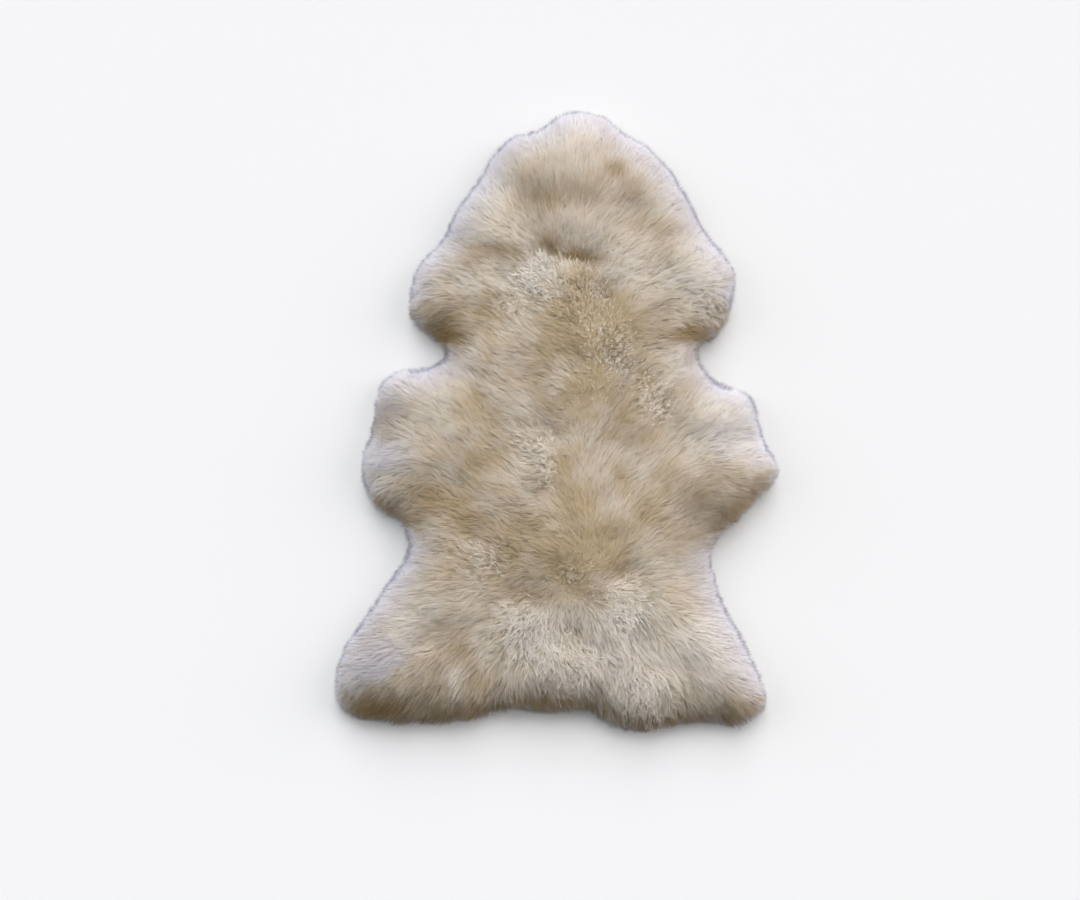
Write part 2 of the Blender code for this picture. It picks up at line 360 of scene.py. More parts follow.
tonePatches = (
    # where the wool is paler or yellower than the rest, partly its own tone and partly painted light and
    # painted shade over the folds: name, x, y, reach, paleness (under 0 is yellower)
    ("crown", 0.03, 0.43, 0.05, 0.25),
    ("neck", 0.03, 0.36, 0.07, 0.3),
    ("right hollow of the crown", 0.085, 0.385, 0.02, -0.5),
    ("neck crease", 0.03, 0.256, 0.018, -0.3),
    ("brow", 0.06, 0.30, 0.03, 0.35),
    ("lip of the crease", 0.098, 0.249, 0.028, 1.3),
    ("left brow", -0.09, 0.298, 0.03, 1.2),
    ("left of the crease", -0.09, 0.262, 0.02, -0.3),
    ("locks under the crease", -0.035, 0.224, 0.03, 0.35),
    ("curls under the crease", 0.024, 0.213, 0.02, -0.5),
    ("left cheek, inside", -0.117, 0.215, 0.022, 0.45),
    ("left of the nape", -0.117, 0.172, 0.022, -0.4),
    ("nape", 0.045, 0.165, 0.03, -0.65),
    ("right of the nape", 0.13, 0.125, 0.03, -0.5),
    ("right cheek", 0.20, 0.21, 0.045, 1.0),
    ("right shoulder", 0.20, 0.07, 0.035, 0.35),
    ("middle of the back", 0.004, -0.02, 0.035, 0.7),
    ("inside of the right foreleg", 0.245, -0.01, 0.04, 0.9),
    ("back", 0.01, -0.07, 0.02, -0.3),
    ("curls left of the loin", -0.137, -0.2285, 0.028, 0.6),
    ("left foreleg", -0.26, -0.06, 0.035, 1.0),
    ("top of the left foreleg", -0.23, 0.055, 0.03, 0.5),
    ("loin", 0.02, -0.17, 0.04, -0.45),
    ("low loin", 0.03, -0.235, 0.04, -0.8),
    ("rump", 0.05, -0.31, 0.06, 1.5),
    ("right of the rump, high", 0.125, -0.309, 0.018, -0.9),
    ("right of the rump", 0.10, -0.35, 0.025, 0.8),
    ("left of the rump", -0.055, -0.34, 0.045, 1.0),
    ("middle of the rump", 0.025, -0.328, 0.018, -1.0),
    ("tail", 0.13, -0.38, 0.045, 1.0),
    ("inside of the right haunch", 0.215, -0.35, 0.034, 1.2),
    ("right haunch, low", 0.25, -0.40, 0.03, 0.5),
    ("inside of the left haunch", -0.18, -0.305, 0.03, 0.4),
    ("right of the low loin", 0.146, -0.225, 0.025, 0.35),
)

palePatches = (
    # where the pale rim, partly paler wool and partly painted light, reaches further in: name, x, y, reach,
    # amount
    ("crown", 0.02, 0.44, 0.05, 0.4),
    ("left cheek", -0.19, 0.22, 0.04, 0.35),
    ("right cheek", 0.225, 0.20, 0.045, 0.5),
    ("right shoulder", 0.20, 0.09, 0.03, 0.4),
    ("left foreleg", -0.28, -0.055, 0.045, 0.85),
    ("top of the left foreleg", -0.245, 0.05, 0.03, 0.5),
    ("right foreleg", 0.285, -0.02, 0.05, 0.6),
    ("left haunch", -0.285, -0.37, 0.06, 0.8),
    ("right haunch", 0.29, -0.34, 0.05, 0.7),
    ("curls under the crease", -0.03, 0.235, 0.035, 0.3),
    ("rump", 0.06, -0.32, 0.055, 0.25),
    ("tail", 0.11, -0.37, 0.04, 0.2),
    ("neck", 0.03, 0.33, 0.05, 0.42),
)

shadePatches = (
    # hollows and edges where shade is painted into the wool's colour: name, x, y, half length, half width,
    # turn in degrees, amount
    ("neck", 0.03, 0.34, 0.09, 0.038, 0, 0.52),
    ("neck trough", -0.014, 0.338, 0.05, 0.024, 0, 0.72),
    ("left of the crown", -0.015, 0.402, 0.045, 0.033, 0, 0.26),
    ("right of the neck", 0.10, 0.325, 0.035, 0.025, 0, 0.25),
    ("right edge of the neck", 0.16, 0.296, 0.05, 0.018, -10, 0.4),
    ("neck crease", 0.03, 0.256, 0.05, 0.010, -5, 1.0),
    ("left end of the crease", -0.013, 0.272, 0.018, 0.012, 0, 0.85),
    ("left of the crease", -0.085, 0.259, 0.045, 0.015, -5, 0.6),
    ("curls under the crease", 0.022, 0.214, 0.02, 0.014, 0, 0.25),
    ("under the left cheek", -0.16, 0.134, 0.03, 0.022, -20, 1.0),
    ("left neck notch", -0.157, 0.10, 0.02, 0.02, 0, 0.4),
    ("under the right cheek", 0.20, 0.134, 0.036, 0.02, 20, 0.9),
    ("right neck notch", 0.205, 0.10, 0.022, 0.025, 0, 0.45),
    ("right shoulder", 0.20, 0.055, 0.035, 0.02, 0, 0.3),
    ("left of the nape", -0.117, 0.175, 0.02, 0.018, 0, 0.25),
    ("top of the nape", 0.046, 0.176, 0.025, 0.018, 0, 0.35),
    ("right of the nape", 0.165, 0.175, 0.025, 0.018, 0, 0.35),
    ("right of the withers", 0.10, 0.035, 0.045, 0.03, 0, 0.36),
    ("right of the back", 0.11, -0.027, 0.05, 0.03, 0, 0.24),
    ("crown hollow", 0.089, 0.385, 0.018, 0.013, 0, 0.7),
    ("small crown hollow", 0.045, 0.405, 0.010, 0.006, 0, 0.35),
    ("left foreleg hollow", -0.262, -0.006, 0.028, 0.030, 0, 0.5),
    ("under the left foreleg", -0.20, -0.11, 0.05, 0.028, -10, 0.68),
    ("under the left foreleg, low", -0.245, -0.138, 0.035, 0.022, -30, 0.65),
    ("left waist", -0.125, -0.16, 0.055, 0.034, -20, 0.62),
    ("left waist, low", -0.17, -0.19, 0.045, 0.025, 0, 0.3),
    ("right waist, top", 0.22, -0.11, 0.03, 0.025, 0, 0.42),
    ("right waist", 0.175, -0.185, 0.05, 0.025, 0, 0.3),
    ("right of the loin", 0.09, -0.228, 0.032, 0.02, 0, 0.55),
    ("over the rump", -0.03, -0.269, 0.065, 0.016, 0, 0.62),
    ("over the rump, right", 0.065, -0.267, 0.03, 0.014, 0, 0.45),
    ("middle of the rump", 0.018, -0.35, 0.03, 0.014, 0, 0.35),
    ("under the left haunch", -0.26, -0.44, 0.06, 0.022, 0, 0.9),
    ("under the right foreleg", 0.28, -0.13, 0.045, 0.025, 40, 0.6),
    ("loin", 0.03, -0.23, 0.06, 0.035, -20, 0.16),
    ("nape", 0.10, 0.12, 0.05, 0.03, 0, 0.14),
    ("rump hollow", 0.027, -0.331, 0.018, 0.012, 0, 0.1),
    ("left rump furrow", -0.19, -0.405, 0.035, 0.010, 65, 0.3),
    ("middle rump furrow", -0.095, -0.39, 0.035, 0.010, 70, 0.25),
    ("right rump furrow", 0.205, -0.41, 0.03, 0.012, 80, 0.12),
    ("under the right haunch", 0.22, -0.43, 0.05, 0.018, 10, 0.2),
)

litPatches = (
    # where the wool is turned to the window, or away from it (under 0): name, x, y, reach, amount
    ("left of the crown", -0.077, 0.376, 0.02, -0.2),
    ("left brow", -0.08, 0.30, 0.024, 0.35),
    ("left cheek, high", -0.135, 0.254, 0.02, -0.25),
    ("left of the crease", -0.085, 0.254, 0.022, -0.25),
    ("under the crease, high", -0.015, 0.252, 0.016, -0.25),
    ("left cheek, inside", -0.117, 0.214, 0.02, 0.25),
    ("left of the nape", -0.077, 0.172, 0.018, 0.25),
    ("lip of the crease", 0.10, 0.253, 0.024, 0.3),
    ("under the lip", 0.082, 0.213, 0.018, -0.3),
    ("top of the nape", 0.045, 0.174, 0.018, -0.3),
    ("nape, right", 0.09, 0.09, 0.025, -0.3),
    ("left shoulder", -0.117, 0.053, 0.018, -0.25),
    ("left side", -0.117, 0.013, 0.018, 0.2),
    ("left foreleg", -0.26, -0.065, 0.026, 0.25),
    ("right foreleg", 0.30, -0.06, 0.035, 0.22),
    ("under the right foreleg", 0.225, -0.125, 0.028, -0.22),
    ("right of the rump, high", 0.12, -0.309, 0.02, -0.6),
    ("right of the rump", 0.105, -0.352, 0.02, 0.3),
    ("inside of the right haunch", 0.215, -0.352, 0.034, 0.3),
    ("left of the rump, low", -0.10, -0.358, 0.035, 0.25),
    ("left haunch, low", -0.295, -0.405, 0.028, -0.3),
    ("left of the neck trough", -0.03, 0.34, 0.025, -0.2),
    ("right of the neck", 0.11, 0.335, 0.025, -0.2),
    ("left foreleg hollow", -0.26, -0.022, 0.028, -0.35),
    ("saddle, low", 0.004, -0.186, 0.018, 0.25),
    ("right side, low", 0.165, -0.24, 0.024, 0.3),
    ("right waist, low", 0.205, -0.225, 0.018, -0.25),
    ("over the rump", -0.035, -0.269, 0.025, -0.2),
    ("over the rump, right", 0.05, -0.268, 0.02, -0.3),
    ("rump, high", 0.044, -0.308, 0.012, 0.3),
    ("rump", 0.01, -0.348, 0.015, -0.25),
    ("left of the rump, high", -0.117, -0.30, 0.02, -0.2),
    ("right neck notch", 0.20, 0.16, 0.02, 0.2),
)

woolSettings = {
    "regions": ("rumpWool", "loinWool", "backWool", "shoulderWool", "neckWool"),  # from the tail up
    "reach": 0.013,  # how far a lock's tip shows from its root
    "underside": -0.35,  # faces of the underwool that look further down than this bear no wool
    "ring": 0.2,  # how far the normals of the underwool's outermost ring may be from level
    "bySlope": 0.004,  # how much the slope counts in the way out of the rug
    "overhang": 0.0195,  # how far out from the ring the rug's edge is
    "edgeReach": 0.014,  # over which the edge is evened out
    "edgeShare": 0.86,  # of the tips near it are inside the edge
    "shadeLineReach": 0.009,  # within this of the edge, the tips are darker: a painted shade line
    "lineBend": 0.7,  # how much of that there is where the fibre bends
    "top": 0.074,  # the highest that wool may stand over the floor
    "pull": (-0.2, -0.8),  # of its own weight on laid wool: on the flat, and how much more on a slope
    "seed": 11,
}

lockSettings = {
    # a pair is for smooth wool and for curly wool, unless a note says otherwise
    # clouds are soft noises, as amount, size and shift, and what ends in Alone is a lock's own
    "spacing": 0.0044,
    "gather": (0.02, 0.28),  # how far a lock draws its tips together
    "wander": (8, 36),  # degrees by which a lock strays
    "wanderClouds": ((1.6, 0.045, 3.1), (1.6, 0.017, 7.7)),
    "wanderAlone": 0.5,
    "tangle": 60,  # degrees by which locks stray where the wool parts
    "tangleClouds": ((1.0, 0.012, 4.4),),
    "uneven": (0.04, 0.14),  # in lean and length, from lock to lock
    "lengthClouds": ((0.18, 0.022, 9.4),),
    "turn": (0.03, 0.24),  # how much a lock is turned to or from the light
    "partingCurl": 0.6,  # how curly the wool is where it parts
    "outwardOver": (0.009, 6),  # the way out is averaged over this reach and number of places
    "outwardClouds": ((0.2, 0.02, 2.2),),
    "outwardAlone": 0.15,
    "rim": 0.062,  # how far in the pale rim reaches: partly paler wool, partly painted light
    "pale": 0.8,  # how pale it is at most
    "paleSlope": 0.5,  # share of it that is lost on a slope
    "paintedShadeRim": 0.030,  # how far in the painted shade of a lower edge reaches
    "edge": 0.3,  # how dark the painted shade on the wool next to the floor is
    "fringe": 0.24,  # how uneven the locks of a lower edge are
    "tone": 0.44,  # of plain wool, from yellow at 0 to white at 1
    "toneClouds": ((0.46, 0.05, 1.3), (0.22, 0.018, 5.2)),
    "toneAlone": (0.05, 0.26),
    # lines held between 0 and 1, as start and rise: the first three by how far the way out is up the picture,
    # towards the window light, so that the pale rim's painted light and the dark line's painted shade lie on
    # the upper and side edges, and the brown painted shade on the lower edges
    "paleLine": (0.9, 1.4),
    "edgeLine": (1.3, 2.5),
    "paintedShadeLine": (-0.2, -1.6),
    "steepLine": (-1.4, 2.4),  # by the slope, for the painted shade next to the floor
}

fibreSettings = {
    # a pair is for the flat of the back and for the rim, unless a note says otherwise
    "perRegion": 55000,
    "length": (0.023, 0.029),
    "lengthAlone": 0.13,
    "longer": (0.05, 0.3),  # share of the fibres that are longer, and by how much
    "lengthLimits": (0.010, 0.033),
    "lean": (60, 44),  # degrees from upright
    "leanAlone": 7,
    "leanLimits": (18, 78),
    "parting": (0.93, 1.0),  # share of the lean that is left, where the wool parts and where it doesn't
    "parted": (0.25, 0.6),  # how sure the combing is where the wool parts, and how much surer beside it
    "partedTone": 0.4,  # how much yellower it is there
    "frizz": (7.5, 60),  # degrees by which a fibre strays from its lock, and more where the wool parts
    "sunk": 0.003,  # under the top of the underwool
    "bend": (0.42, 0.10),  # where the fibre bends over, up and along, as shares of its length
    "bendGather": 0.5,  # share of the lock's gathering that the bend has
    "sections": (0.0, 0.55, 1.0),  # along the fibre
    "widths": (1.0, 0.9, 0.0),  # there
    "width": 0.00065,
    "widthRange": (0.75, 0.5),  # the least share of it, and how much more there may be
    "twist": 24,  # degrees
    "limitAlone": 0.06,  # how uneven the trimming is
    "lowest": (0.0006, 0.002),  # over the floor, and how uneven that is
    "topAlone": 0.002,
    "facing": (0.88, 0.12, 0.20),  # what light falls by: the wool's surface, the blade, its place in the lock
    "rootFacing": (0.95, 0.05),
    "toneAlone": 0.09,
    "plain": 0.8,  # how far along the colours of a fibre the plain wool goes, the palest going all the way
}


def smoothNoise(points, size, shift):
    # soft noise from about -1 to 1 at each point
    away, gain = Vector((shift, shift * 0.7, -shift)), 1.6
    return np.array([noise.noise(Vector(p) / size + away) for p in points]) * gain


def near(points, x, y, reach):
    # 1 at the place, and softly less away from it
    return np.exp(-((points[:, 0] - x) ** 2 + (points[:, 1] - y) ** 2) / (2 * reach ** 2))


def combAt(points):
    # the way the wool is brushed at each point, in plan, and how surely: less so where it parts
    flow = np.zeros((len(points), 2))
    total = np.full(len(points), 1e-12)
    for _, x, y, heading, reach in combStrokes:
        weight = near(points, x, y, reach) + 1e-9
        angle = math.radians(heading)
        flow += weight[:, None] * np.array((math.cos(angle), math.sin(angle)))
        total += weight
    return unit(flow), np.linalg.norm(flow, axis=1) / total


def curlAt(points):
    # 0 where the wool is smooth, to 1 where it stands in curly locks, and how long the wisps are there
    smooth, lengths, total = np.ones(len(points)), np.full(len(points), 1e-9), np.full(len(points), 1e-9)
    for _, x, y, reach, amount, length in curlSpots:
        weight = amount * near(points, x, y, reach)
        smooth *= 1 - weight
        lengths += weight * length
        total += weight
    return 1 - smooth, lengths / total


def clouded(points, clouds, start=0):
    # start, with soft noises of several sizes added
    return sum((amount * smoothNoise(points, size, shift) for amount, size, shift in clouds), start)


def heldLine(line, values):
    # a line, given as its start and its rise, held between 0 and 1
    return np.clip(line[0] + line[1] * values, 0, 1)


def triangleAreas(points, triangles):
    a, b, c = (points[triangles[:, k]] for k in range(3))
    return np.linalg.norm(np.cross(b - a, c - a), axis=1) / 2


def sumAt(points, patches):
    # the amounts of soft patches, added up at each point
    return sum(amount * near(points, x, y, reach) for _, x, y, reach, amount in patches)


def shadeAt(points):
    # painted shade: how dark and brown the wool is made in the hollows
    shade = np.zeros(len(points))
    for _, x, y, halfLength, halfWidth, turn, amount in shadePatches:
        c, s = math.cos(math.radians(turn)), math.sin(math.radians(turn))
        across, up = points[:, 0] - x, points[:, 1] - y
        u, v = (across * c + up * s) / halfLength, (up * c - across * s) / halfWidth
        shade = np.maximum(shade, amount * np.exp(-u ** 2 - v ** 2))
    return shade


def turned(flow, angle):
    c, s = np.cos(angle), np.sin(angle)
    return np.stack((flow[:, 0] * c - flow[:, 1] * s, flow[:, 0] * s + flow[:, 1] * c), axis=1)


def scatterOn(points, normals, triangles, count, rng):
    # places spread evenly over the triangles, with their normals
    area = triangleAreas(points, triangles)
    chosen = np.searchsorted(np.cumsum(area) / area.sum(), rng.random(count))
    u, v = rng.random(count), rng.random(count)
    over = u + v > 1
    u[over], v[over] = 1 - u[over], 1 - v[over]
    share = np.stack((1 - u - v, u, v), axis=1)
    corners = triangles[chosen]
    place = (points[corners] * share[:, :, None]).sum(axis=1)
    normal = unit((normals[corners] * share[:, :, None]).sum(axis=1))
    return place, normal


def laidOn(flow, normal, slope):
    # brushed flow laid down on the wool's surface, with some weight of its own
    flat, sloping = woolSettings["pull"]
    pull = np.column_stack((flow, flat + sloping * slope))
    return unit(pull - normal * (pull * normal).sum(axis=1, keepdims=True))


def setBack():
    # roots stand further back than their tips show, so the folds of the underwool go back by as much
    points, normals, _ = meshArrays(underwool)
    flow, sure = combAt(points)
    flat = np.clip(2 * normals[:, 2] - 1, 0, 1)
    points[:, :2] -= flow * (woolSettings["reach"] * sure * flat)[:, None]
    underwool.data.vertices.foreach_set("co", points.ravel())
    underwool.data.update()


def woolySurface():
    # the underwool without its underside
    points, normals, triangles = meshArrays(underwool)
    facing = normals[triangles].mean(axis=1)[:, 2]
    return points, normals, triangles[facing > woolSettings["underside"]]


def treeOf(places):
    tree = kdtree.KDTree(len(places))
    for i, place in enumerate(places):
        tree.insert(place, i)
    tree.balance()
    return tree


def rimOf(surface):
    # the outermost ring of the underwool, to measure from: a tree of its points, the ways out, the points
    points, normals, _ = surface
    ring = np.abs(normals[:, 2]) < woolSettings["ring"]
    level = points[ring] * (1, 1, 0)
    return treeOf(level), unit(normals[ring, :2]), level


def trimmed(tips, rim, limits):
    # tips that would reach further out from the ring than the rug's edge are drawn in to it
    tree, ways, ring = rim
    out, nearest = np.zeros(len(tips)), np.zeros(len(tips), int)
    for i, (x, y, _) in enumerate(tips):
        foot, nearest[i], _ = tree.find((x, y, 0))
        way = ways[nearest[i]]
        out[i] = (x - foot.x) * way[0] + (y - foot.y) * way[1]
    over = np.maximum(out - limits, 0)
    tips[:, :2] -= ways[nearest] * over[:, None]
    # how far each tip is beyond most of those near it
    out = out - over
    order = np.lexsort((out, nearest))
    order = order[out[order] > 0]
    first = np.searchsorted(nearest[order], np.arange(len(ways) + 1))
    most = (first[:-1] + woolSettings["edgeShare"] * np.diff(first)).astype(int)
    usual = out[order][np.minimum(most, len(order) - 1)]
    usual = np.where(np.diff(first) > 0, usual, woolSettings["overhang"])
    around = [tree.find_range(point, woolSettings["edgeReach"]) for point in ring]
    edge = np.array([np.mean([usual[i] for _, i, _ in found]) for found in around])
    return out - edge[nearest]


def upOut(places, normals, rim):
    # how much the way out of the rug, at each place, is the way up the picture
    feet = np.array([rim[0].find((x, y, 0))[0][:2] for x, y, _ in places])
    return unit(feet - places[:, :2] + normals[:, :2] * woolSettings["bySlope"])[:, 1]


def makeLocks(surface, rim, rng):
    # the middles of the locks, with how each lies
    own = lockSettings
    points, normals, triangles = surface
    count = int(triangleAreas(points, triangles).sum() / own["spacing"] ** 2)
    place, normal = scatterOn(points, normals, triangles, count, rng)
    slope = np.clip(1 - normal[:, 2], 0, 1)
    flow, sure = combAt(place)
    shown = place[:, :2] + flow * woolSettings["reach"]
    curl = np.maximum(curlAt(shown)[0], own["partingCurl"] * (1 - sure))

    stray = clouded(place, own["wanderClouds"]) + own["wanderAlone"] * rng.standard_normal(count)
    stray = stray * np.radians(between(own["wander"], curl))
    stray += np.radians(own["tangle"]) * (1 - sure) * clouded(place, own["tangleClouds"])
    uneven = between(own["uneven"], curl)

    inward = np.array([rim[0].find((x, y, 0))[2] for x, y, _ in place])
    spread, times = own["outwardOver"]
    around = [place + spread * rng.standard_normal((count, 3)) for _ in range(times)]
    outward = np.mean([upOut(places, normal, rim) for places in around], axis=0)
    outward = clouded(place, own["outwardClouds"], outward)
    outward = outward + own["outwardAlone"] * rng.standard_normal(count)

    # the pale rim: partly paler wool, partly painted light, on all but the lower edges, which face away from
    # the window, and less on a slope
    rimmed = np.clip(1 - inward / own["rim"], 0, 1)
    for _, x, y, reach, amount in palePatches:
        rimmed = np.maximum(rimmed, amount * near(shown, x, y, reach))
    pale = own["pale"] * rimmed * heldLine(own["paleLine"], outward)
    # painted shade: brown on the lower edges, which face away from the window, in the hollows, and on the
    # steep wool next to the floor
    under = np.clip(1 - inward / own["paintedShadeRim"], 0, 1)
    under = under * heldLine(own["paintedShadeLine"], outward)
    edge = own["edge"] * heldLine(own["steepLine"], slope)
    tone = clouded(place, own["toneClouds"], own["tone"])
    tone += between(own["toneAlone"], curl) * rng.standard_normal(count)
    # tone patches: some of the wool's own tone, and painted light and painted shade over the folds
    tone += sumAt(shown, tonePatches)
    facing = sumAt(shown, litPatches)[:, None] * (0, 1, 0)
    return {
        "place": place,
        "gather": between(own["gather"], curl),
        "turn": facing + between(own["turn"], curl)[:, None] * rng.standard_normal((count, 3)),
        "stray": stray,
        "lean": 1 + uneven * rng.standard_normal(count),
        "length": clouded(place, own["lengthClouds"], 1 + uneven * rng.standard_normal(count)),
        "tone": np.clip(tone, 0, 1),
        # where the tone patches' painted light passes white, the fibre pales further towards its tip
        "glow": np.clip(tone - 1, 0, 1),
        "pale": pale * (1 - own["paleSlope"] * slope),
        "line": heldLine(own["edgeLine"], outward),
        "fringe": own["fringe"] * np.clip(-outward, 0, 1) * rng.standard_normal(count),
        "shade": np.maximum(under, np.maximum(shadeAt(shown), edge)),
    }


def nearestLock(locks, places):
    tree = treeOf(locks["place"])
    return np.array([tree.find(place)[1] for place in places])


def makeFibres(surface, rim, locks, rng):
    # every fibre is a flat blade, bent over at its middle: one quad and a pointed end
    own = fibreSettings
    count = own["perRegion"] * len(woolSettings["regions"])
    root, normal = scatterOn(*surface, count, rng)
    lock = nearestLock(locks, root)
    slope = np.clip(1 - normal[:, 2], 0, 1)
    flow, sure = combAt(root)
    parted, fading = own["parted"]
    sure = np.maximum(np.clip((sure - parted) / fading, 0, 1), slope)

    lean = between(own["lean"], slope) * between(own["parting"], sure)
    lean = lean * locks["lean"][lock] + own["leanAlone"] * rng.standard_normal(count)
    lean = np.radians(np.clip(lean, *own["leanLimits"]))
    length = between(own["length"], slope) * locks["length"][lock]
    length = length * (1 + own["lengthAlone"] * rng.standard_normal(count))
    share, more = own["longer"]
    length = length * (1 + more * (rng.random(count) < share))
    length = np.clip(length, *own["lengthLimits"])[:, None]
    offset = root - locks["place"][lock]
    gather = locks["gather"][lock][:, None]
    frizz = np.radians(between(own["frizz"], 1 - sure))
    lay = laidOn(turned(flow, locks["stray"][lock] + frizz * rng.standard_normal(count)), normal, slope)

    reach = normal * np.cos(lean)[:, None] + lay * np.sin(lean)[:, None]
    up, onward = own["bend"]
    start = root - normal * own["sunk"]
    bend = start + normal * length * up + lay * length * onward
    bend = bend - offset * gather * own["bendGather"]
    tip = start + reach * length - offset * gather
    limits = 1 + own["limitAlone"] * rng.standard_normal(count) + locks["fringe"][lock]
    limits = woolSettings["overhang"] * limits
    # tips close to the rug's edge take the painted shade line
    edging = np.clip(trimmed(tip, rim, limits) / woolSettings["shadeLineReach"] + 1, 0, 1)

    twist = np.radians(own["twist"]) * rng.standard_normal((count, 1))
    side = unit(np.cross(normal, lay))
    side = unit(side * np.cos(twist) + normal * np.sin(twist))
    least, more = own["widthRange"]
    width = own["width"] * (least + more * rng.random((count, 1, 1)))
    widths = np.array(own["widths"])[None, :, None]

    t = np.array(own["sections"])[None, :, None]
    spine = start[:, None] * (1 - t) ** 2 + bend[:, None] * 2 * t * (1 - t) + tip[:, None] * t ** 2
    lowest, more = own["lowest"]
    spine[:, :, 2] = np.maximum(spine[:, :, 2], lowest + more * rng.random((count, 1)))
    highest = woolSettings["top"] - own["topAlone"] * rng.random((count, 1))
    spine[:, :, 2] = np.minimum(spine[:, :, 2], highest)
    half = side[:, None] * width * widths / 2
    points = np.concatenate(((spine - half)[:, :2], (spine + half)[:, :2], spine[:, 2:]), axis=1)

    face = unit(np.cross(side, unit(tip - bend)))
    flip = (face * normal).sum(axis=1) < 0
    face[flip] *= -1
    byWool, byBlade, byPlace = own["facing"]
    shade = byWool * normal + byBlade * face + byPlace * gather * unit(offset) + locks["turn"][lock]
    shade = unit(shade)
    byWool, byBlade = own["rootFacing"]
    low = unit(byWool * normal + byBlade * face)

    # at the root and the bend of the left side, the same of the right, and the tip
    bent, line = own["sections"][1], woolSettings["lineBend"]
    grow = between((own["plain"], 1.0), locks["glow"][lock])[:, None]
    tone = locks["tone"][lock] - own["partedTone"] * (1 - sure)
    tone = tone + own["toneAlone"] * rng.standard_normal(count)
    return {
        "points": points,
        "shading": np.stack((low, shade, low, shade, shade), axis=1),
        "grow": grow * (0.0, bent, 0.0, bent, 1.0),
        "line": (edging * locks["line"][lock])[:, None] * (0.0, line, 0.0, line, 1.0),
        "flip": flip,
        "lock": lock,
        "tone": np.clip(tone, 0, 1),
        "pale": locks["pale"][lock],
        "shade": locks["shade"][lock],
    }


wispSettings = {
    # pale curls that lie on the wool, a few hairs to each
    "name": "curlyWisps",
    "wisps": 3600,
    "hairs": 3,
    "places": 40,  # tried for each wisp
    "from": 0.25,  # the curliness at which they begin
    "crowding": 1.5,  # how much more of them there are where it is curliest
    "faceUp": 0.5,  # none where the wool faces up less than this
    "sections": 4,
    "length": (0.007, 0.013),
    "lengthAlone": 0.1,
    "width": 0.00045,
    "taper": 0.4,  # share of the width that is gone at the tip
    "height": (0.0045, 0.0115),  # over the underwool, at the root and the tip
    "heightAlone": 0.0007,
    "lowest": 0.001,
    "swing": 0.0010,  # to each side
    "swingGrowth": (0.3, 0.7),  # share of it at the root, and how much more at the tip
    "waves": (0.9, 1.5),
    "phaseAlone": 0.05,
    "spread": 0.0008,  # between the hairs of a wisp
    "stray": 32,  # degrees
    "strayClouds": ((1.0, 0.02, 6.6),),
    "catch": 0.55,  # how far the wisps face the window, at most
    "roll": 0.3,  # how much a hair is turned along its length
    "paling": 0.5,  # power by which a hair pales along its length
    "tone": 0.75,
    "toneAlone": 0.15,
    "shade": 0.5,  # of the wool's painted shade
}


def makeWisps(surface, rng):
    own = wispSettings
    sections, wisps, each = own["sections"], own["wisps"], own["hairs"]
    place, normal = scatterOn(*surface, own["places"] * wisps, rng)
    flow, _ = combAt(place)
    curl, lengths = curlAt(place[:, :2] + flow * woolSettings["reach"])
    likely = np.clip(curl - own["from"], 0, 1) ** own["crowding"]
    likely = likely * (normal[:, 2] > own["faceUp"])
    chosen = rng.choice(len(place), wisps, replace=False, p=likely / likely.sum())
    hairs = np.repeat(chosen, each)
    count = len(hairs)

    def shared(values):
        # one value to a wisp, the same for its hairs
        return np.repeat(values, each, axis=0)

    place, normal, flow = place[hairs], normal[hairs], flow[hairs]
    angle = clouded(place[::each], own["strayClouds"], rng.standard_normal(wisps))
    angle = shared(np.radians(own["stray"]) * angle)
    lay = laidOn(turned(flow, angle), normal, np.clip(1 - normal[:, 2], 0, 1))
    side = unit(np.cross(normal, lay))
    length = shared(between(own["length"], rng.random(wisps)))
    length = length * (1 + own["lengthAlone"] * rng.standard_normal(count)) * lengths[hairs]
    waves = shared(between(own["waves"], rng.random(wisps)))
    phase = shared(rng.random(wisps)) + own["phaseAlone"] * rng.standard_normal(count)
    aside = side * rng.standard_normal((count, 1))
    aside = aside + lay * rng.standard_normal((count, 1))
    place = place + own["spread"] * aside

    t = np.linspace(0, 1, sections + 1)
    along = t[None, :] * length[:, None]
    first, more = own["swingGrowth"]
    swing = own["swing"] * np.sin(2 * math.pi * (waves[:, None] * t + phase[:, None]))
    swing = swing * (first + more * t)
    rise = between(own["height"], 1 - (1 - t) ** 2)
    rise = rise + own["heightAlone"] * rng.standard_normal((count, 1))
    spine = place[:, None] + lay[:, None] * along[:, :, None] + side[:, None] * swing[:, :, None]
    spine = spine + normal[:, None] * rise[:, :, None]
    spine[:, :, 2] = np.clip(spine[:, :, 2], own["lowest"], woolSettings["top"])
    going = np.gradient(spine, axis=1)
    across = unit(np.cross(normal[:, None], going))
    half = across * own["width"] / 2 * (1 - own["taper"] * t)[None, :, None]
    points = np.empty((count, 2 * sections + 1, 3))
    points[:, :sections] = (spine - half)[:, :sections]
    points[:, sections:2 * sections] = (spine + half)[:, :sections]
    points[:, -1] = spine[:, -1]

    catch = own["catch"] * shared(rng.random((wisps, 1, 1))) * (0, 1, 0)
    roll = own["roll"] * unit(going) * rng.standard_normal((count, 1, 1))
    shading = unit(normal[:, None] + catch + roll)
    shading = np.concatenate((shading[:, :sections], shading), axis=1)
    # with the tone patches' painted light and painted shade
    tone = own["tone"] + sumAt(place, tonePatches)
    return {
        "points": points,
        "shading": shading,
        "grow": np.tile(np.concatenate((t[:sections], t)) ** own["paling"], (count, 1)),
        "line": np.zeros((count, 1)),
        "flip": np.ones(count, bool),
        "tone": np.clip(tone + own["toneAlone"] * rng.standard_normal(count), 0, 1),
        "pale": np.zeros(count),
        "shade": own["shade"] * shadeAt(place[:, :2]),
    }


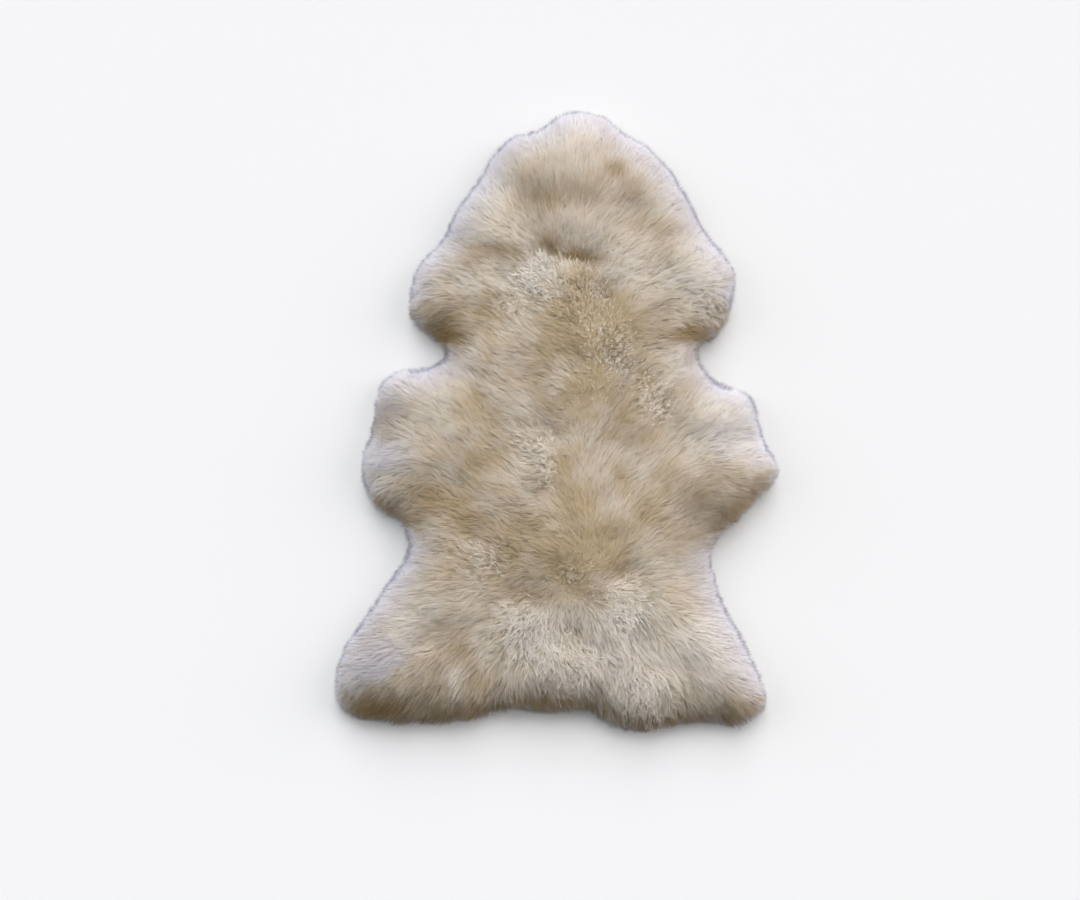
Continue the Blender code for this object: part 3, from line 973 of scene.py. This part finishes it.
cellSettings = {
    # a fibre's cell on the square of the UV map, and how the blade lies in it
    "tallness": 4,
    "sides": (0.15, 0.85),
    "middle": 0.5,
    "heights": (0.1, 0.95),
}


def bakeCells(count, sections):
    # a place of its own for each fibre on the square of the UV map
    columns = math.ceil(math.sqrt(count * cellSettings["tallness"]))
    rows = math.ceil(count / columns)
    cell = np.arange(count)
    corner = np.stack((cell % columns, cell // columns), axis=1)
    low, high = cellSettings["heights"]
    heights = np.linspace(low, high, sections + 1)[:-1]
    inside = [(side, height) for side in cellSettings["sides"] for height in heights]
    inside.append((cellSettings["middle"], high))
    return (corner[:, None] + inside) / (columns, rows)


def fibreMesh(name, fibres, chosen, material):
    # each fibre's points are its left side, its right side and its tip
    count, size = len(chosen), fibres["points"].shape[1]
    sections = size // 2
    plain, flipped = [], []
    for k in range(sections - 1):
        plain += (k, sections + k, sections + k + 1, k + 1)
        flipped += (k, k + 1, sections + k + 1, sections + k)
    plain += (sections - 1, size - 2, size - 1)
    flipped += (sections - 1, size - 1, size - 2)
    corners = np.where(fibres["flip"][chosen][:, None], flipped, plain)
    corners = (corners + np.arange(count)[:, None] * size).reshape(-1).astype(np.int32)
    starts = (np.arange(count)[:, None] * len(plain) + np.arange(sections) * 4).reshape(-1).astype(np.int32)

    mesh = bpy.data.meshes.new(name)
    mesh.vertices.add(count * size)
    mesh.vertices.foreach_set("co", fibres["points"][chosen].reshape(-1))
    mesh.loops.add(count * len(plain))
    mesh.loops.foreach_set("vertex_index", corners)
    mesh.polygons.add(count * sections)
    mesh.polygons.foreach_set("loop_start", starts)
    mesh.polygons.foreach_set("use_smooth", np.ones(count * sections, bool))
    mesh.update(calc_edges=True)

    strand = mesh.attributes.new("strand", "FLOAT_COLOR", "POINT")
    # red: along the fibre; green: tone, with painted light and shade; blue: the pale rim, partly painted
    # light, and the painted shade line; alpha: painted shade
    values = np.ones((count, size, 4))
    values[:, :, 0] = fibres["grow"][chosen]
    values[:, :, 1] = fibres["tone"][chosen][:, None]
    values[:, :, 2] = np.maximum(fibres["pale"][chosen][:, None], fibres["line"][chosen])
    values[:, :, 3] = fibres["shade"][chosen][:, None]
    strand.data.foreach_set("color", values.reshape(-1))
    cells = mesh.uv_layers.new(name="OFBake")
    cells.uv.foreach_set("vector", bakeCells(count, sections).reshape(-1, 2)[corners].reshape(-1))
    mesh.normals_split_custom_set_from_vertices(fibres["shading"][chosen].reshape(-1, 3))
    piece = bpy.data.objects.new(name, mesh)
    bpy.context.scene.collection.objects.link(piece)
    piece.data.materials.append(material)
    print(name, count, "fibres")
    return piece


woolColours = {
    # ramps are pairs of a place and its colour
    "alongFibre": (  # from the root to the tip, darker at the root: partly painted shade deep in the wool
        (0.0, (0.76, 0.63, 0.45, 1)),
        (0.36, (0.80, 0.685, 0.525, 1)),
        (0.8, (0.865, 0.80, 0.73, 1)),
        (1.0, (0.98, 0.95, 0.90, 1)),
    ),
    "tones": (  # from yellow to white, multiplied in
        (0.0, (0.73, 0.655, 0.49, 1)),
        (0.35, (0.835, 0.79, 0.69, 1)),
        (0.6, (0.905, 0.87, 0.82, 1)),
        (0.82, (0.915, 0.935, 0.925, 1)),
        (1.0, (0.99, 0.995, 0.98, 1)),
    ),
    "rims": (  # the pale rim, partly paler wool and partly painted light, and last the painted shade line of an upper edge
        (0.0, (0.92, 0.89, 0.86, 1)),
        (0.22, (0.90, 0.88, 0.87, 1)),
        (0.5, (0.82, 0.82, 0.93, 1)),
        (0.82, (0.77, 0.78, 0.91, 1)),
        (0.88, (0.25, 0.25, 0.34, 1)),
        (1.0, (0.25, 0.25, 0.34, 1)),
    ),
    "under": (0.385, 0.258, 0.105, 1),  # painted shade: in the hollows and under the lower edges
    "look": {
        "Roughness": 0.75,
        "Specular IOR Level": 0.2,
        "Sheen Weight": 0.12,
        "Sheen Roughness": 0.5,
        "Sheen Tint": (0.88, 0.92, 1.0, 1),
    },
}


def rampOf(nodes, stops):
    ramp = nodes.new("ShaderNodeValToRGB")
    elements = ramp.color_ramp.elements
    for element, (place, colour) in zip((elements[0], elements[1]), (stops[0], stops[-1])):
        element.position, element.color = place, colour
    for place, colour in stops[1:-1]:
        elements.new(place).color = colour
    return ramp


def woolMaterial():
    material = plainMaterial("creamWool", woolColours["look"])
    nodes, links = material.node_tree.nodes, material.node_tree.links
    shader = nodes["Principled BSDF"]
    strand = nodes.new("ShaderNodeAttribute")
    strand.attribute_name = "strand"
    split = nodes.new("ShaderNodeSeparateColor")
    along = rampOf(nodes, woolColours["alongFibre"])
    tones = rampOf(nodes, woolColours["tones"])
    tint = nodes.new("ShaderNodeMix")
    tint.data_type = "RGBA"
    tint.blend_type = "MULTIPLY"
    tint.inputs["Factor"].default_value = 1.0
    rims = rampOf(nodes, woolColours["rims"])
    rim, under = nodes.new("ShaderNodeMix"), nodes.new("ShaderNodeMix")
    rim.data_type = under.data_type = "RGBA"
    first, second, mixed = 6, 7, 2  # the colour sockets of a mix node
    under.inputs[second].default_value = woolColours["under"]
    links.new(strand.outputs["Color"], split.inputs["Color"])
    links.new(split.outputs["Red"], along.inputs["Fac"])
    links.new(split.outputs["Green"], tones.inputs["Fac"])
    links.new(along.outputs["Color"], tint.inputs[first])
    links.new(tones.outputs["Color"], tint.inputs[second])
    # blue: the pale rim, partly painted light, and the painted shade line of the upper edges
    links.new(split.outputs["Blue"], rims.inputs["Fac"])
    links.new(split.outputs["Blue"], rim.inputs["Factor"])
    links.new(rims.outputs["Color"], rim.inputs[second])
    links.new(tint.outputs[mixed], rim.inputs[first])
    # alpha: brown painted shade
    links.new(strand.outputs["Alpha"], under.inputs["Factor"])
    links.new(rim.outputs[mixed], under.inputs[first])
    links.new(under.outputs[mixed], shader.inputs["Base Color"])
    return material


def makeWool():
    rng = np.random.default_rng(woolSettings["seed"])
    setBack()
    surface = woolySurface()
    rim = rimOf(surface)
    locks = makeLocks(surface, rim, rng)
    print("locks", len(locks["place"]))
    fibres = makeFibres(surface, rim, locks, rng)
    regions = woolSettings["regions"]
    order = np.argsort(locks["place"][fibres["lock"], 1])
    material = woolMaterial()
    made = []
    for name, chosen in zip(regions, np.array_split(order, len(regions))):
        made.append(fibreMesh(name, fibres, np.sort(chosen), material))
    wisps = makeWisps(surface, rng)
    made.append(fibreMesh(wispSettings["name"], wisps, np.arange(len(wisps["points"])), material))
    return made


wool = makeWool()

for piece in (underwool, hide, *wool):
    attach(piece, "root")
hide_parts("pelt")

# floor and light

studioSettings = {
    "floor": 6.0,
    "floorLook": {"Base Color": (0.96, 0.96, 0.955, 1), "Roughness": 0.9},
    "lampHeight": 2,
    "suns": (
        # name, strength, rise over the floor, bearing (0 = right, 90 = beyond the neck), spread, colour
        ("windowLight", 2.5, 36, 90, 45, (0.98, 0.98, 1.0)),
        ("leftLight", 1.15, 24, 158, 45, (0.84, 0.91, 1.0)),
        ("rightLight", 1.60, 24, 18, 45, (1.0, 0.97, 0.97)),
        ("ceilingLight", 0.35, 88, 90, 50, (1.0, 0.97, 0.93)),
    ),
    "sky": {"Color": (0.98, 0.99, 1.0, 1), "Strength": 0.06},
}


def makeFloor():
    deselectAll()
    bpy.ops.mesh.primitive_plane_add(size=studioSettings["floor"], location=(0, 0, 0))
    floor = bpy.context.object
    floor.name = "floor"
    floor.data.materials.append(plainMaterial("paleFloor", studioSettings["floorLook"]))


def makeLights():
    for name, strength, rise, bearing, spread, colour in studioSettings["suns"]:
        bpy.ops.object.light_add(type="SUN", location=(0, 0, studioSettings["lampHeight"]))
        sun = bpy.context.object
        sun.name = name
        sun.data.energy = strength
        sun.data.angle = math.radians(spread)
        sun.data.color = colour
        sun.rotation_euler = (0, math.radians(90 - rise), math.radians(bearing))
    world = bpy.data.worlds.new("softRoom")
    world.use_nodes = True
    setSockets(world.node_tree.nodes["Background"], studioSettings["sky"])
    bpy.context.scene.world = world
    bpy.context.scene.view_settings.view_transform = "Standard"
    bpy.context.scene.view_settings.look = "None"


makeFloor()
makeLights()
print("studio ready")
